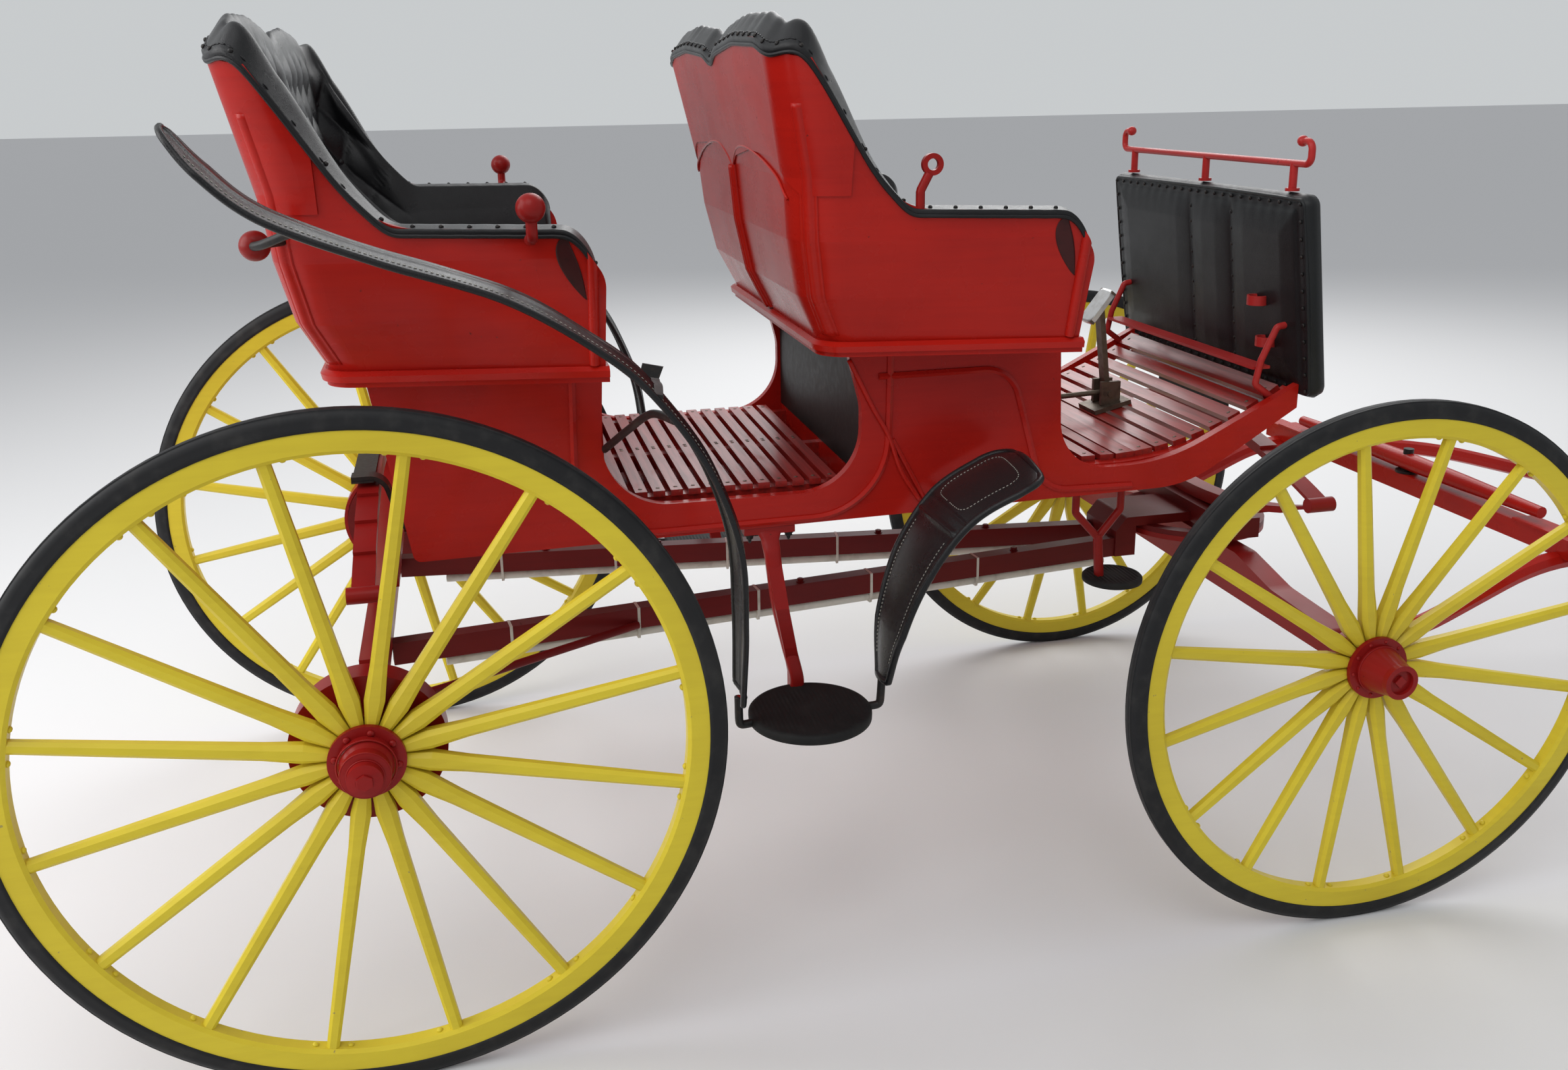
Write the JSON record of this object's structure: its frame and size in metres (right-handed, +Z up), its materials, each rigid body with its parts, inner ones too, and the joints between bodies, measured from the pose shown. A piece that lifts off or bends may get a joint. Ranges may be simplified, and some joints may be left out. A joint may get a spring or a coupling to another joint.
{
  "type": "horse-drawn carriage",
  "caption": "Two-seat open horse-drawn carriage with wooden spoked wheels, flared leather seats, elliptic springs, mudguards, dash and shafts.",
  "frame": {"origin": "on the floor under the middle of the whole length, from the rear wheels to the shaft tips, on the centre line", "axes": "+X forward towards the horse, +Y to the carriage's left, +Z up"},
  "size_m": [4.7858, 1.538, 1.756],
  "materials": {
    "red_paint": "bright red gloss enamel, brushed on wood",
    "yellow_paint": "bright yellow gloss enamel, brushed on wood",
    "varnished_slat": "dark red varnish",
    "black_leather": "soft gloss",
    "red_iron": "dark red gloss enamel on iron",
    "black_iron": "black paint",
    "worn_steel": "worn, slightly rusty",
    "tyre_rubber": "matt",
    "pale_conduit": "satin"
  },
  "bodies": {
    "carriage": {"arm_irons": "red_iron", "body_boards": "red_paint", "body_loops": "black_iron", "body_sides": "red_paint", "brake_conduits": "pale_conduit", "brake_pedal": "worn_steel", "dash": "black_leather", "dash_rail": "red_iron", "steps": "red_iron", "front_seat_lining": "black_leather", "front_seat_shell": "red_paint", "front_slats": "varnished_slat", "head_block": "red_paint", "reaches": "red_paint", "rear_axle": "red_iron", "rear_axle_bed": "red_paint", "rear_guards": "black_leather", "rear_seat_lining": "black_leather", "rear_seat_shell": "red_paint", "seat_cushions": "black_leather", "seat_rails": "red_paint", "splash_guards": "black_leather", "springs": "red_iron", "toe_rail": "red_iron", "well_slats": "varnished_slat"},
    "front_gear": {"fifth_wheel_ring": "red_iron", "front_axle": "red_iron", "front_axle_bed": "red_paint"},
    "front_left_wheel": {"front_left_hub": "red_iron", "front_left_spokes": "yellow_paint", "front_left_tyre": "tyre_rubber"},
    "front_right_wheel": {"front_right_hub": "red_iron", "front_right_spokes": "yellow_paint", "front_right_tyre": "tyre_rubber"},
    "rear_left_wheel": {"rear_left_hub": "red_iron", "rear_left_spokes": "yellow_paint", "rear_left_tyre": "tyre_rubber"},
    "rear_right_wheel": {"rear_right_hub": "red_iron", "rear_right_spokes": "yellow_paint", "rear_right_tyre": "tyre_rubber"},
    "shafts": {"crossbar": "red_paint", "shaft_irons": "black_iron", "shafts": "red_paint"},
    "singletree": {"singletree": "red_paint"}
  },
  "joints": [
    {"name": "steer", "type": "hinge", "parent": "carriage", "child": "front_gear", "pos_m": [0.043, 0, 0.618], "axis": [0, 0, 1], "range_deg": [-22, 22]},
    {"name": "rear_left_roll", "type": "hinge", "parent": "carriage", "child": "rear_left_wheel", "pos_m": [-1.807, 0.711, 0.586], "axis": [0, 1, 0], "continuous": true},
    {"name": "front_left_roll", "type": "hinge", "parent": "front_gear", "child": "front_left_wheel", "pos_m": [0.049, 0.711, 0.528], "axis": [0, 1, 0], "continuous": true},
    {"name": "rear_right_roll", "type": "hinge", "parent": "carriage", "child": "rear_right_wheel", "pos_m": [-1.807, -0.711, 0.586], "axis": [0, 1, 0], "continuous": true},
    {"name": "front_right_roll", "type": "hinge", "parent": "front_gear", "child": "front_right_wheel", "pos_m": [0.049, -0.711, 0.528], "axis": [0, 1, 0], "continuous": true},
    {"name": "shaft_lift", "type": "hinge", "parent": "front_gear", "child": "shafts", "pos_m": [0.127, 0, 0.496], "axis": [0, -1, 0], "range_deg": [0, 50]},
    {"name": "singletree_swing", "type": "hinge", "parent": "shafts", "child": "singletree", "pos_m": [0.633, 0, 0.704], "axis": [0, 0, 1], "range_deg": [-6, 6]}
  ]
}
